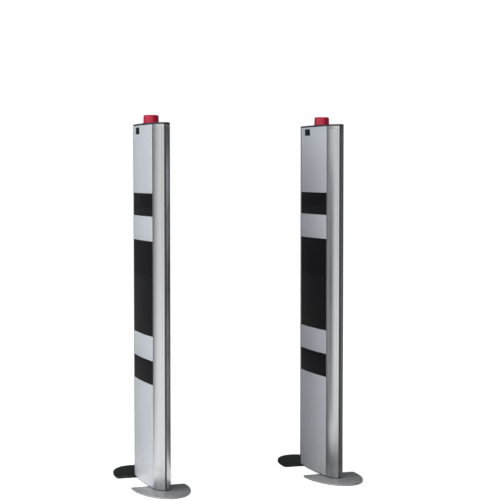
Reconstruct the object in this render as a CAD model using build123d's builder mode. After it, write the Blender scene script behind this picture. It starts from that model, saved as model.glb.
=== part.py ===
"""Walk-through retail security gate.

Two identical free-standing antenna pedestals stand either side of an aisle.
X runs across the aisle, Y runs through it, Z is up.  The origin is on the floor,
midway between the two pedestals.
"""
import os

from build123d import *

os.makedirs("parts", exist_ok=True)

# Layout of the pair
pedestal_pitch = 810.0  # between the two pedestal centres
gate_height = 1600.0  # floor to the top face of the top cap

# Plan section of one column
column_width = 440.0  # nose to nose, along Y
nose_width = 8.0  # flat at each end, filled by the bumper strip
seam_thickness = 78.0  # across the column where rail meets shell
crown_thickness = 92.0  # across the middle of the column
rail_depth = 64.0  # nose to seam
seam_gap = 1.0  # shadow line between rail and shell

# Foot plates and caps
foot_thickness = 8.0
foot_width = 250.0
foot_reach = 130.0  # near foot, beyond the end of the column
foot_inboard = 130.0  # near foot, under the column
far_foot_shift = 50.0  # the far foot sits this much further out
column_y = -far_foot_shift / 2  # keeps the origin midway between the ends of the feet
foot_curve_centre = 100.0  # inboard of the column end, where the rounded outer side starts
foot_corner = 12.0
foot_edge_round = 1.5
bottom_cap_thickness = 4.0
bottom_cap_inset = 1.0
top_cap_thickness = 8.0
top_cap_round = 2.0
rim_thickness = 3.0
rim_height = 8.0
rim_clearance = 0.3

# Rails: hollow extrusions with a nose block, two shell lips and a cross web
rail_wall = 3.0
nose_block = 10.0
lip_start = 58.0
lip_wall = 3.0
lip_reach = 76.0  # nose to the inner face of the cross web
web_thickness = 3.0
port_radius = 7.0  # round screw ports beside the web
port_depth = 68.0  # nose to port centre
port_spacing = 50.0
guide_depth = 6.0  # ribs that hold the edges of the coil board
guide_width = 3.0

# Bumper strips
bumper_depth = 3.0
bumper_bulge = 1.0
bumper_stem_width = 3.0
bumper_stem_depth = 4.0

# Shells and gloss bands
shell_thickness = 2.5
shell_clearance = 0.1  # between the back of a shell and the rail lips
band_thickness = 1.0
low_band = (462.0, 566.0)  # bottom and top edge above the floor
mid_band = (673.0, 1086.0)
top_band = (1194.0, 1294.0)

# People counter in the front shell
counter_width = 68.0
counter_height = 30.0
counter_centre_y = 64.0
counter_drop = 23.0  # window centre below the underside of the top cap
counter_proud = 0.6
counter_seat = 1.2
counter_corner = 3.0
counter_body_width = 40.0
counter_body_height = 22.0
counter_body_depth = 16.0

# Alarm lamp
lamp_hole_radius = 30.0
lamp_flange_radius = 37.0
lamp_flange_thickness = 2.0
lamp_spigot_depth = 14.0
lamp_collar_radius = 31.42
lamp_collar_height = 10.0
lamp_wire_radius = 8.0
lens_bore_radius = 31.5
lens_base_radius = 34.2
lens_top_radius = 33.0
lens_height = 35.0
lens_wall = 2.5
lens_round = 6.0
lens_gap = 0.3
lug_radius = 30.0
lug_angle = 10.0
lug_height = 2.5
lug_lift = 3.0  # lens rim to underside of lug
lug_count = 3
twist_range = 30.0
slot_radius = 29.6
slot_clearance = 0.4
slot_spare_angle = 1.0
slot_runout = 1.0  # each cut runs this far past the collar
lamp_board_radius = 26.0
board_thickness = 1.6
led_size = 5.0
led_height = 2.0
led_circle = 17.0
led_count = 8

# Coil board and antenna coil
coil_board_thickness = 4.0
coil_board_rise = 48.0  # board above the bottom cap
coil_board_drop = 32.0  # board below the top cap
coil_outer_width = 256.0
coil_margin = 50.0  # coil to each end of the board
coil_wire = 8.0
coil_corner = 40.0

# Braces between the rails
brace_depth = 12.0
brace_height = 25.0
brace_pad_width = 254.0
lower_brace_rise = 250.0  # above the bottom cap
upper_brace_drop = 230.0  # below the top cap

# Controller board
controller_width = 130.0
controller_height = 180.0
controller_rise = 778.0  # centre above the bottom cap
standoff_height = 8.0
standoff_radius = 3.5
standoff_inset = 10.0
connector_size = (90.0, 14.0, 12.0)  # along Y, along Z, off the board
connector_offset = 70.0
chip_size = 28.0
chip_height = 3.0
chip_offset = 25.0

# Power supply with rocker switch
supply_width = 110.0
supply_clearance = 4.5  # from the back shell at the seam
supply_height = 100.0
supply_rise = 78.0  # above the bottom cap
supply_centre_y = 70.0
supply_edge_round = 2.0
rocker_length = 22.0
rocker_width = 13.0
rocker_drop = 8.0
rocker_rise = 3.0
rocker_valley = 1.5  # wing edge below wing crest, and middle below wing edge
rocker_base_length = 11.0
rocker_swing = 16.0  # degrees, off to on
rocker_pivot_radius = 1.5
rocker_pivot_reach = 2.0
pivot_clearance = 0.05  # round the pin
pivot_end_play = 0.2  # at each end of the pin
pocket_length = 24.0
pocket_width = 14.0
pocket_depth = 14.0
pivot_depth = 4.5  # below the top of the power supply

# Cable grommet
grommet_bore = 6.0
grommet_neck = 10.0
grommet_flange = 13.0
grommet_flange_thickness = 2.0

# Fasteners and floor anchors
bolt_radius = 3.0
bolt_clearance = 0.3
bolt_head_radius = 6.0
bolt_reach = 30.0  # thread length inside the rail
anchor_radius = 5.5
anchor_spacing = 120.0
anchor_reach = 70.0  # beyond the end of the column

# Levels and distances that follow from the sizes above
half_width = column_width / 2
body_bottom = foot_thickness + bottom_cap_thickness
body_top = gate_height - top_cap_thickness
body_height = body_top - body_bottom
shell_width = column_width - 2 * (rail_depth + seam_gap)
web_gap = column_width - 2 * lip_reach
lip_inset = shell_thickness + shell_clearance
inner_inset = lip_inset + lip_wall
half_board = coil_board_thickness / 2
collar_top = gate_height + lamp_flange_thickness + lamp_collar_height
lens_bottom = gate_height + lamp_flange_thickness + lens_gap
counter_centre_z = body_top - counter_drop
coil_board_bottom = body_bottom + coil_board_rise
coil_board_top = body_top - coil_board_drop
coil_bottom = coil_board_bottom + coil_margin
coil_top = coil_board_top - coil_margin
lower_brace_z = body_bottom + lower_brace_rise
upper_brace_z = body_top - upper_brace_drop
controller_z = body_bottom + controller_rise
supply_depth = seam_thickness / 2 - shell_thickness - half_board - supply_clearance
supply_bottom = body_bottom + supply_rise
supply_top = supply_bottom + supply_height


def column_section(inset=0.0):
    """Plan outline of the column, drawn smaller by the inset all round."""
    seam_y = half_width - rail_depth
    seam_x = seam_thickness / 2
    nose_x = nose_width / 2
    with BuildSketch() as section:
        with BuildLine():
            face = ThreePointArc((seam_x, -seam_y), (crown_thickness / 2, 0), (seam_x, seam_y))
            TangentArc(face @ 0, (nose_x, -half_width), tangent=(face % 0) * -1)
            TangentArc(face @ 1, (nose_x, half_width), tangent=face % 1)
            Line((0, -half_width), (nose_x, -half_width))
            Line((0, half_width), (nose_x, half_width))
            mirror(about=Plane.YZ)
        make_face()
        if inset:
            offset(amount=-inset, kind=Kind.INTERSECTION, mode=Mode.REPLACE)
    return section.sketch


def end_strip(inset, end, start, finish):
    """Slice of the section between two distances in from one end of the column."""
    with BuildSketch() as strip:
        add(column_section(inset))
        with Locations((0, end * (half_width - (start + finish) / 2))):
            Rectangle(2 * crown_thickness, finish - start, mode=Mode.INTERSECT)
    return strip.sketch


def face_skin(outer_inset, back_inset, side, width):
    """Curved skin on one broad face, between two insets of the section."""
    with BuildSketch() as skin:
        add(column_section(outer_inset))
        add(column_section(back_inset), mode=Mode.SUBTRACT)
        with Locations((side * crown_thickness / 2, 0)):
            Rectangle(crown_thickness, width, mode=Mode.INTERSECT)
    return skin.sketch


def port_points(end):
    """Centres of the two screw ports at one end of the column."""
    y = end * (half_width - port_depth)
    return [(-port_spacing / 2, y), (port_spacing / 2, y)]


def make_rail(end):
    """Hollow rounded rail at one end of the column."""
    nose_y = end * half_width
    with BuildPart() as rail:
        with BuildSketch(Plane.XY.offset(body_bottom)):
            add(end_strip(0, end, 0, rail_depth))
            add(end_strip(lip_inset, end, rail_depth, lip_reach))
            add(end_strip(rail_wall, end, nose_block, lip_start), mode=Mode.SUBTRACT)
            add(end_strip(inner_inset, end, lip_start, lip_reach - web_thickness), mode=Mode.SUBTRACT)
            with Locations(*port_points(end)):
                Circle(port_radius)
                Circle(bolt_radius, mode=Mode.SUBTRACT)
            with Locations((0, nose_y - end * bumper_depth / 2)):
                Rectangle(nose_width, bumper_depth, mode=Mode.SUBTRACT)
            with Locations((0, nose_y - end * (bumper_depth + bumper_stem_depth / 2))):
                Rectangle(bumper_stem_width, bumper_stem_depth, mode=Mode.SUBTRACT)
            guide_y = end * (web_gap / 2 - guide_depth / 2)
            guide_x = half_board + guide_width / 2
            with Locations((-guide_x, guide_y), (guide_x, guide_y)):
                Rectangle(guide_width, guide_depth)
        extrude(amount=body_height)
    return rail.part


def make_bumper(end):
    """Rubber strip with a gently domed face, keyed into the rail nose."""
    nose_y = end * half_width
    seat_y = nose_y - end * bumper_depth
    stem_y = seat_y - end * bumper_stem_depth
    nose_x = nose_width / 2
    stem_x = bumper_stem_width / 2
    with BuildPart() as bumper:
        with BuildSketch(Plane.XY.offset(body_bottom)):
            with BuildLine():
                ThreePointArc((-nose_x, nose_y), (0, nose_y + end * bumper_bulge), (nose_x, nose_y))
                Polyline(
                    (nose_x, nose_y),
                    (nose_x, seat_y),
                    (stem_x, seat_y),
                    (stem_x, stem_y),
                    (-stem_x, stem_y),
                    (-stem_x, seat_y),
                    (-nose_x, seat_y),
                    (-nose_x, nose_y),
                )
            make_face()
        extrude(amount=body_height)
    return bumper.part


def make_shell(side, has_counter):
    """Curved silver skin with shallow seats for the gloss bands."""
    with BuildPart() as shell:
        with BuildSketch(Plane.XY.offset(body_bottom)):
            add(face_skin(0, shell_thickness, side, shell_width))
        extrude(amount=body_height)
        for bottom, top in (low_band, mid_band, top_band):
            with BuildSketch(Plane.XY.offset(bottom)):
                add(face_skin(0, band_thickness, side, column_width))
            extrude(amount=top - bottom, mode=Mode.SUBTRACT)
        if has_counter:
            add(make_counter_sensor(), mode=Mode.SUBTRACT)
    return shell.part


def make_band(side, edges):
    """Gloss band that lies flush in its seat in the shell."""
    bottom, top = edges
    with BuildPart() as band:
        with BuildSketch(Plane.XY.offset(bottom)):
            add(face_skin(0, band_thickness, side, shell_width))
        extrude(amount=top - bottom)
    return band.part


def make_counter_sensor():
    """Dark window of the people counter with its housing behind the shell."""
    bottom = counter_centre_z - counter_height / 2
    body_x = -(crown_thickness / 2 - counter_seat - counter_body_depth / 2)
    with BuildPart() as counter:
        with BuildSketch(Plane.XY.offset(bottom)):
            add(face_skin(-counter_proud, counter_seat, -1, column_width))
        extrude(amount=counter_height)
        with BuildSketch(Plane.YZ.offset(-crown_thickness)):
            with Locations((counter_centre_y, counter_centre_z)):
                RectangleRounded(counter_width, counter_height, counter_corner)
        extrude(amount=crown_thickness, mode=Mode.INTERSECT)
        with Locations((body_x, counter_centre_y, counter_centre_z)):
            Box(counter_body_depth, counter_body_width, counter_body_height)
        with BuildSketch(Plane.XY.offset(bottom)):
            add(column_section(-counter_proud))
        extrude(amount=counter_height, mode=Mode.INTERSECT)
    return counter.part


def rim(side_clearance, bottom):
    """Upright rim between the rails that locates the two shells."""
    outer = shell_thickness + rim_clearance
    length = web_gap - 2 * side_clearance
    with BuildPart() as ring:
        with BuildSketch(Plane.XY.offset(bottom)):
            add(column_section(outer))
            add(column_section(outer + rim_thickness), mode=Mode.SUBTRACT)
            Rectangle(2 * crown_thickness, length, mode=Mode.INTERSECT)
        extrude(amount=rim_height)
    return ring.part


def make_top_cap():
    """Thin lid that follows the section and carries the lamp."""
    with BuildPart() as cap:
        with BuildSketch(Plane.XY.offset(body_top)):
            add(column_section())
        extrude(amount=top_cap_thickness)
        fillet(cap.faces().sort_by(Axis.Z)[-1].edges(), radius=top_cap_round)
        add(rim(rim_clearance, body_top - rim_height))
        with BuildSketch(Plane.XY.offset(body_top)):
            Circle(lamp_hole_radius)
        extrude(amount=top_cap_thickness, mode=Mode.SUBTRACT)
    return cap.part


def make_bottom_cap():
    """Base plate of the column, resting on the two foot plates."""
    with BuildPart() as cap:
        with BuildSketch(Plane.XY.offset(foot_thickness)):
            add(column_section(bottom_cap_inset))
            with Locations(*port_points(-1), *port_points(1)):
                Circle(bolt_radius + bolt_clearance, mode=Mode.SUBTRACT)
            Circle(grommet_neck, mode=Mode.SUBTRACT)
        extrude(amount=bottom_cap_thickness)
        add(rim(rim_clearance, body_bottom))
    return cap.part


def make_foot(end):
    """D-shaped floor plate with countersunk column bolts and two anchor holes."""
    shift = far_foot_shift if end > 0 else 0.0
    curve_y = end * (half_width + shift - foot_curve_centre)
    curve_length = foot_reach + foot_curve_centre
    straight = foot_inboard - foot_curve_centre
    inner_y = end * (half_width + shift - foot_inboard)
    anchor_y = end * (half_width + anchor_reach)
    with BuildPart() as foot:
        with BuildSketch():
            with Locations((0, curve_y)):
                Ellipse(foot_width / 2, curve_length)
            with Locations((0, curve_y + end * curve_length / 2)):
                Rectangle(foot_width, curve_length, mode=Mode.INTERSECT)
            with Locations((0, curve_y - end * straight / 2)):
                Rectangle(foot_width, straight)
        extrude(amount=foot_thickness)
        corners = foot.edges().filter_by(Axis.Z).filter_by(lambda e: abs(e.center().Y - inner_y) < 1)
        fillet(corners, radius=foot_corner)
        fillet(foot.faces().sort_by(Axis.Z)[-1].edges(), radius=foot_edge_round)
        with Locations(Plane((0, 0, 0), x_dir=(1, 0, 0), z_dir=(0, 0, -1))):
            with Locations(*[(x, -y) for x, y in port_points(end)]):
                CounterSinkHole(bolt_radius + bolt_clearance, bolt_head_radius + bolt_clearance)
        with Locations((-anchor_spacing / 2, anchor_y), (anchor_spacing / 2, anchor_y)):
            Cylinder(anchor_radius, 4 * foot_thickness, mode=Mode.SUBTRACT)
    return foot.part


def make_foot_bolts():
    """Four countersunk bolts, each screwed up through foot plate and cap into a rail."""
    top = body_bottom + bolt_reach
    head_height = bolt_head_radius - bolt_radius
    with BuildPart() as bolts:
        with Locations(*port_points(-1), *port_points(1)):
            Cylinder(bolt_radius, top, align=(Align.CENTER, Align.CENTER, Align.MIN))
            Cone(bolt_head_radius, bolt_radius, head_height, align=(Align.CENTER, Align.CENTER, Align.MIN))
    return bolts.part


def collar_profile(width, height, middle_radius, middle_z, start):
    """Upright rectangle on a radius of the lamp, ready to be swept round its axis."""
    with BuildSketch(Plane.XZ.rotated((0, 0, start))) as profile:
        with Locations((middle_radius, middle_z)):
            Rectangle(width, height)
    return profile.sketch


def make_lamp_base():
    """Mounting ring with a collar that carries the bayonet slots."""
    spigot_bottom = gate_height - lamp_spigot_depth
    flange_top = gate_height + lamp_flange_thickness
    slot_bottom = lens_bottom + lug_lift - slot_clearance
    slot_height = lug_height + 2 * slot_clearance
    slot_width = lamp_collar_radius + slot_runout - slot_radius
    slot_middle = slot_radius + slot_width / 2
    entry_arc = lug_angle + 2 * slot_spare_angle
    entry_height = collar_top + slot_runout - slot_bottom
    with BuildPart() as base:
        with BuildSketch(Plane.XY.offset(spigot_bottom)):
            Circle(lamp_hole_radius)
        extrude(amount=lamp_spigot_depth)
        with BuildSketch(Plane.XY.offset(gate_height)):
            Circle(lamp_flange_radius)
        extrude(amount=lamp_flange_thickness)
        with BuildSketch(Plane.XY.offset(flange_top)):
            Circle(lamp_collar_radius)
        extrude(amount=lamp_collar_height)
        with BuildSketch(Plane.XY.offset(spigot_bottom)):
            Circle(lamp_wire_radius)
        extrude(amount=collar_top - spigot_bottom, mode=Mode.SUBTRACT)
        for turn in range(lug_count):
            start = turn * 360 / lug_count - lug_angle / 2 - slot_spare_angle
            groove_z = slot_bottom + slot_height / 2
            groove = collar_profile(slot_width, slot_height, slot_middle, groove_z, start)
            revolve(groove, axis=Axis.Z, revolution_arc=entry_arc + twist_range, mode=Mode.SUBTRACT)
            entry_z = slot_bottom + entry_height / 2
            entry = collar_profile(slot_width, entry_height, slot_middle, entry_z, start + twist_range)
            revolve(entry, axis=Axis.Z, revolution_arc=entry_arc, mode=Mode.SUBTRACT)
    return base.part


def make_lamp_lens():
    """Red cup that drops over the collar and locks with a short twist."""
    top = lens_bottom + lens_height
    lug_root = lens_bore_radius + lens_wall / 2
    lug_middle = (lug_radius + lug_root) / 2
    lug_z = lens_bottom + lug_lift + lug_height / 2
    with BuildPart() as lens:
        with BuildSketch(Plane.XZ):
            with BuildLine():
                Polyline(
                    (0, lens_bottom),
                    (lens_base_radius, lens_bottom),
                    (lens_top_radius, top),
                    (0, top),
                    close=True,
                )
            make_face()
        revolve(axis=Axis.Z)
        fillet(lens.edges().filter_by(GeomType.CIRCLE).sort_by(Axis.Z)[-1], radius=lens_round)
        with BuildSketch(Plane.XY.offset(lens_bottom)):
            Circle(lens_bore_radius)
        extrude(amount=lamp_collar_height, mode=Mode.SUBTRACT)
        with BuildSketch(Plane.XY.offset(lens_bottom + lamp_collar_height)):
            Circle(lens_top_radius - lens_wall)
        extrude(amount=lens_height - lamp_collar_height - lens_wall, mode=Mode.SUBTRACT)
        for turn in range(lug_count):
            start = turn * 360 / lug_count - lug_angle / 2
            lug = collar_profile(lug_root - lug_radius, lug_height, lug_middle, lug_z, start)
            revolve(lug, axis=Axis.Z, revolution_arc=lug_angle)
    return lens.part


def make_lamp_board():
    """Round board with a ring of light-emitting diodes."""
    with BuildPart() as board:
        with BuildSketch(Plane.XY.offset(collar_top)):
            Circle(lamp_board_radius)
        extrude(amount=board_thickness)
        with BuildSketch(Plane.XY.offset(collar_top + board_thickness)):
            with PolarLocations(led_circle, led_count):
                Rectangle(led_size, led_size)
        extrude(amount=led_height)
    return board.part


def make_coil_board():
    """Stiff flat board held between the guides of the two rails."""
    height = coil_board_top - coil_board_bottom
    with BuildPart() as board:
        with Locations((0, 0, coil_board_bottom + height / 2)):
            Box(coil_board_thickness, web_gap, height)
    return board.part


def make_antenna_coil():
    """Double loop of bundled wire lying on the coil board."""
    height = coil_top - coil_bottom
    middle = (coil_top + coil_bottom) / 2
    window_width = coil_outer_width - 2 * coil_wire
    window_height = (height - 3 * coil_wire) / 2
    window_offset = (window_height + coil_wire) / 2
    window_corner = coil_corner - coil_wire
    with BuildPart() as coil:
        with BuildSketch(Plane.YZ.offset(-half_board - coil_wire)):
            with Locations((0, middle)):
                RectangleRounded(coil_outer_width, height, coil_corner)
            with Locations((0, middle - window_offset), (0, middle + window_offset)):
                RectangleRounded(window_width, window_height, window_corner, mode=Mode.SUBTRACT)
        extrude(amount=coil_wire)
    return coil.part


def make_brace(z):
    """Bar between the rail webs, padded out to the coil board."""
    bar_x = half_board + guide_width + brace_depth / 2
    with BuildPart() as brace:
        with Locations((bar_x, 0, z)):
            Box(brace_depth, web_gap, brace_height)
        with Locations((half_board + guide_width / 2, 0, z)):
            Box(guide_width, brace_pad_width, brace_height)
    return brace.part


def make_controller_board():
    """Circuit board on four standoffs with connectors and chips."""
    board_x = half_board + standoff_height
    face_x = board_x + board_thickness
    post_y = controller_width / 2 - standoff_inset
    post_z = controller_height / 2 - standoff_inset
    length, tall, proud = connector_size
    with BuildPart() as controller:
        with BuildSketch(Plane.YZ.offset(board_x)):
            with Locations((0, controller_z)):
                Rectangle(controller_width, controller_height)
        extrude(amount=board_thickness)
        with BuildSketch(Plane.YZ.offset(half_board)):
            with Locations((0, controller_z)):
                with GridLocations(2 * post_y, 2 * post_z, 2, 2):
                    Circle(standoff_radius)
        extrude(amount=standoff_height)
        with BuildSketch(Plane.YZ.offset(face_x)):
            with Locations((0, controller_z - connector_offset), (0, controller_z + connector_offset)):
                Rectangle(length, tall)
        extrude(amount=proud)
        with BuildSketch(Plane.YZ.offset(face_x)):
            with Locations((-chip_offset, controller_z), (chip_offset, controller_z)):
                Rectangle(chip_size, chip_size)
        extrude(amount=chip_height)
    return controller.part


def make_power_supply():
    """Closed box with a pocket and pivot holes for the rocker switch."""
    centre_x = half_board + supply_depth / 2
    pivot_z = supply_top - pivot_depth
    pivot_length = pocket_width + 2 * rocker_pivot_reach
    with BuildPart() as supply:
        with BuildSketch(Plane.XY.offset(supply_bottom)):
            with Locations((centre_x, supply_centre_y)):
                Rectangle(supply_depth, supply_width)
        extrude(amount=supply_height)
        fillet(supply.edges().filter_by(Axis.Z).sort_by(Axis.X)[-2:], radius=supply_edge_round)
        with BuildSketch(Plane.XY.offset(supply_top - pocket_depth)):
            with Locations((centre_x, supply_centre_y)):
                Rectangle(pocket_width, pocket_length)
        extrude(amount=pocket_depth, mode=Mode.SUBTRACT)
        with Locations((centre_x, supply_centre_y, pivot_z)):
            Cylinder(
                rocker_pivot_radius + pivot_clearance,
                pivot_length,
                rotation=(0, 90, 0),
                mode=Mode.SUBTRACT,
            )
    return supply.part


def make_power_switch():
    """Rocker on a cross pin, resting with one side pressed down."""
    centre_x = half_board + supply_depth / 2
    pivot_z = supply_top - pivot_depth
    half_length = rocker_length / 2
    half_base = rocker_base_length / 2
    pin_length = pocket_width + 2 * (rocker_pivot_reach - pivot_end_play)
    edge_z = rocker_rise + pivot_depth - rocker_valley
    cross = Plane((centre_x, supply_centre_y, pivot_z), x_dir=(0, 1, 0), z_dir=(1, 0, 0))
    with BuildPart() as rocker:
        with BuildSketch(cross):
            with BuildLine():
                Polyline(
                    (-half_base, -rocker_drop),
                    (half_base, -rocker_drop),
                    (half_length, 0),
                    (half_length, edge_z),
                    (0, edge_z - rocker_valley),
                    (-half_length, edge_z),
                    (-half_length, 0),
                    close=True,
                )
            make_face()
        extrude(amount=rocker_width / 2, both=True)
        with BuildSketch(cross):
            Circle(rocker_pivot_radius)
        extrude(amount=pin_length / 2, both=True)
    return rocker.part.rotate(Axis((centre_x, supply_centre_y, pivot_z), (1, 0, 0)), rocker_swing / 2)


def make_cable_grommet():
    """Rubber grommet that lines the cable entry in the bottom cap."""
    low = foot_thickness - grommet_flange_thickness
    high = body_bottom + grommet_flange_thickness
    with BuildPart() as grommet:
        with BuildSketch(Plane.XZ):
            with BuildLine():
                Polyline(
                    (grommet_bore, low),
                    (grommet_flange, low),
                    (grommet_flange, foot_thickness),
                    (grommet_neck, foot_thickness),
                    (grommet_neck, body_bottom),
                    (grommet_flange, body_bottom),
                    (grommet_flange, high),
                    (grommet_bore, high),
                    close=True,
                )
            make_face()
        revolve(axis=Axis.Z)
    return grommet.part


def pedestal_pieces():
    """Every piece of one pedestal, centred on its own column."""
    return {
        "near_rail": make_rail(-1),
        "far_rail": make_rail(1),
        "near_bumper": make_bumper(-1),
        "far_bumper": make_bumper(1),
        "front_shell": make_shell(-1, True),
        "back_shell": make_shell(1, False),
        "front_low_band": make_band(-1, low_band),
        "front_mid_band": make_band(-1, mid_band),
        "front_top_band": make_band(-1, top_band),
        "back_low_band": make_band(1, low_band),
        "back_mid_band": make_band(1, mid_band),
        "back_top_band": make_band(1, top_band),
        "top_cap": make_top_cap(),
        "bottom_cap": make_bottom_cap(),
        "near_foot": make_foot(-1),
        "far_foot": make_foot(1),
        "foot_bolts": make_foot_bolts(),
        "counter_sensor": make_counter_sensor(),
        "lamp_base": make_lamp_base(),
        "lamp_lens": make_lamp_lens(),
        "lamp_board": make_lamp_board(),
        "coil_board": make_coil_board(),
        "antenna_coil": make_antenna_coil(),
        "lower_brace": make_brace(lower_brace_z),
        "upper_brace": make_brace(upper_brace_z),
        "controller_board": make_controller_board(),
        "power_supply": make_power_supply(),
        "power_switch": make_power_switch(),
        "cable_grommet": make_cable_grommet(),
    }


pieces = pedestal_pieces()
for hand, centre_x in (("left", -pedestal_pitch / 2), ("right", pedestal_pitch / 2)):
    for name, piece in pieces.items():
        placed = piece.moved(Location((centre_x, column_y, 0)))
        placed.label = f"{hand}_{name}"
        export_step(placed, f"parts/{placed.label}.step")
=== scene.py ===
"""Walk-through security gate: two free-standing antenna pedestals beside an aisle.

Laid out as an add-on. Each operator models one kind of piece on both pedestals.
"""
import math

import bpy
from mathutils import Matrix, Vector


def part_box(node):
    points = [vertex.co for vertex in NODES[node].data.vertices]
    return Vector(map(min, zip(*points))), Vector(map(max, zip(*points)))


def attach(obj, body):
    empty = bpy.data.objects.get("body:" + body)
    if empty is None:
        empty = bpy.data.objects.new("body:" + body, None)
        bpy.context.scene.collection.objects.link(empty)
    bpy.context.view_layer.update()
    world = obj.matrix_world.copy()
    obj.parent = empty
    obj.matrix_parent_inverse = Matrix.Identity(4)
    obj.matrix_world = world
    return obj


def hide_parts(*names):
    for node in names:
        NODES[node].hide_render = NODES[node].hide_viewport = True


bl_info = {
    "name": "Security Gate",
    "version": (1, 0, 0),
    "blender": (4, 5, 0),
    "location": "View3D > Sidebar > Gate",
    "description": "Models the outside and the finishes of a walk-through security gate",
    "category": "Add Mesh",
}

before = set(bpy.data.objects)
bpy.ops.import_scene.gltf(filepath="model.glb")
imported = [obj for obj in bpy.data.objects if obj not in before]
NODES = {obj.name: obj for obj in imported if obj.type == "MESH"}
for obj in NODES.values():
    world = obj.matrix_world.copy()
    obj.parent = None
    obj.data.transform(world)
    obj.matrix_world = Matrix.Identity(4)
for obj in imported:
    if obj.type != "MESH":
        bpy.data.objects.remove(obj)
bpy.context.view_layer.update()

HANDS = ("left", "right")
ENDS = {"near": -1, "far": 1}
SIDES = {"front": -1, "back": 1}
BODY = "gate"
ROUND_STEPS = 20
FLOOR_GLOW = 0.80


# ---------------------------------------------------------------- sizes and colours

# the columns stand this far along Y from the origin; pieces are modelled about the column
COLUMN_Y = sum(corner.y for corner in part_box("left_top_cap")) / 2


def column_box(node):
    """Box of a CAD node, measured from the middle of the column in Y"""
    shift = Vector((0, COLUMN_Y, 0))
    return [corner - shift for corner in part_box(node)]


CAP_LOW, CAP_HIGH = column_box("left_top_cap")
SHELL_LOW, SHELL_HIGH = column_box("left_back_shell")
RAIL_LOW, RAIL_HIGH = column_box("left_near_rail")
BUMPER_LOW, BUMPER_HIGH = column_box("left_near_bumper")
BODY_BOTTOM = RAIL_LOW.z
BODY_TOP = RAIL_HIGH.z
GATE_TOP = CAP_HIGH.z

# fixed details, in metres
SAME_PLACE = 1e-5
SAME_LEVEL = 1e-6
CORNER_REACH = 3e-4
WINDOW_THROUGH = 1e-3
GROOVE_SHARES = (0.86, 0.88)  # of a flank's sweep, from seam to nose
LIP_PAST_SEAM = 0.004
LIP_WIDTH = 0.016
LIP_CLEARANCE = 0.0001
NOSE_BLOCK_START = 0.003
NOSE_BLOCK_END = 0.009
NOSE_BLOCK_SIDE = 0.0002
STRIP_DEPTH = 0.0038
STRIP_ROUND = 0.0006
LAYER_OVERLAP = 0.00002
BAND_ROUND_SHARE = 0.75
WINDOW_PROUD = 0.0006
WINDOW_DEPTH = 0.0018
WINDOW_ROUND = 0.0004
WINDOW_CORNER = 0.003
EYE_SHARES = (0.34, 0.66)
EYE_RADIUS = 0.006
EYE_SUNK = 0.0008
EYE_FLATTENING = 0.22
LID_ROUND = 0.002
LID_RIM = 0.004
LID_GROOVE_WIDTH = 0.0008
LID_GROOVE_DEPTH = 0.0006
PLATE_INSET = 0.001
PLATE_ROUND = 0.0006
CABLE_HOLE_RADIUS = 0.010
FOOT_STRAIGHT = 0.030
FOOT_CORNER = 0.012
FOOT_ROUND = 0.0015
ANCHOR_X = 0.060
ANCHOR_Y = 0.290
ANCHOR_RADIUS = 0.0055
LENS_WALL = 0.0025
LENS_TAPER = 0.965
LENS_ROUND = 0.006
LENS_STEP = 0.004

# the studio
STUDIO_BRIGHT_SIDE = (-0.78, -0.62, 0.1)
LIGHTS = (
    ("key", (-5.5, -0.6, 1.9), (0, 0, 0.7), 140),
    ("front", (-4.2, -5.2, 2.2), (0, 0, 0.6), 50),
    ("over", (-1.6, -0.5, 5.0), (0, 0, 0), 40),
    ("fill", (5.2, 1.6, 2.4), (0, 0, 0.8), 70),
)
LIGHT_SIZE = 3.0
CAMERA_PLACE = (-2.18, -6.43, 1.385)
CAMERA_DOWN = 2.96
CAMERA_TURN = 19.25
CAMERA_LENS = 108


class GateSizes(bpy.types.PropertyGroup):
    """Sizes of the modelled detail"""

    crown_half: bpy.props.FloatProperty(
        name="Crown Half Thickness",
        description="From the middle plane of a column to the crown of a shell",
        default=(CAP_HIGH.x - CAP_LOW.x) / 2,
        unit="LENGTH",
    )
    seam_half: bpy.props.FloatProperty(
        name="Seam Half Thickness",
        description="From the middle plane of a column to the seam of rail and shell",
        default=(RAIL_HIGH.x - RAIL_LOW.x) / 2,
        unit="LENGTH",
    )
    nose_half: bpy.props.FloatProperty(
        name="Nose Half Width",
        description="Half the width of the bumper strip",
        default=(BUMPER_HIGH.x - BUMPER_LOW.x) / 2,
        unit="LENGTH",
    )
    column_half: bpy.props.FloatProperty(
        name="Column Half Width",
        description="From the middle of a column to its nose",
        default=(CAP_HIGH.y - CAP_LOW.y) / 2,
        unit="LENGTH",
    )
    seam_gap: bpy.props.FloatProperty(
        name="Seam Gap",
        description="Shadow line between rail and shell",
        default=0.001,
        unit="LENGTH",
    )
    band_depth: bpy.props.FloatProperty(
        name="Band Depth",
        description="Thickness of a gloss band and depth of its seat",
        default=0.001,
        unit="LENGTH",
    )
    band_gap: bpy.props.FloatProperty(
        name="Band Gap",
        description="Fine line above and below a gloss band, twice a rail's end line",
        default=0.0006,
        unit="LENGTH",
    )
    shell_wall: bpy.props.FloatProperty(
        name="Shell Wall",
        description="Thickness of a shell",
        default=0.0025,
        unit="LENGTH",
    )
    rail_wall: bpy.props.FloatProperty(
        name="Rail Wall",
        description="Thickness of a rail's skin",
        default=0.003,
        unit="LENGTH",
    )
    end_piece: bpy.props.FloatProperty(
        name="Rail End Piece",
        description="Height of the closing piece at the top of a rail",
        default=0.011,
        unit="LENGTH",
    )
    edge_round: bpy.props.FloatProperty(
        name="Edge Rounding",
        description="Rounding of a shell's and a rail's edges",
        default=0.0004,
        unit="LENGTH",
    )


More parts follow.
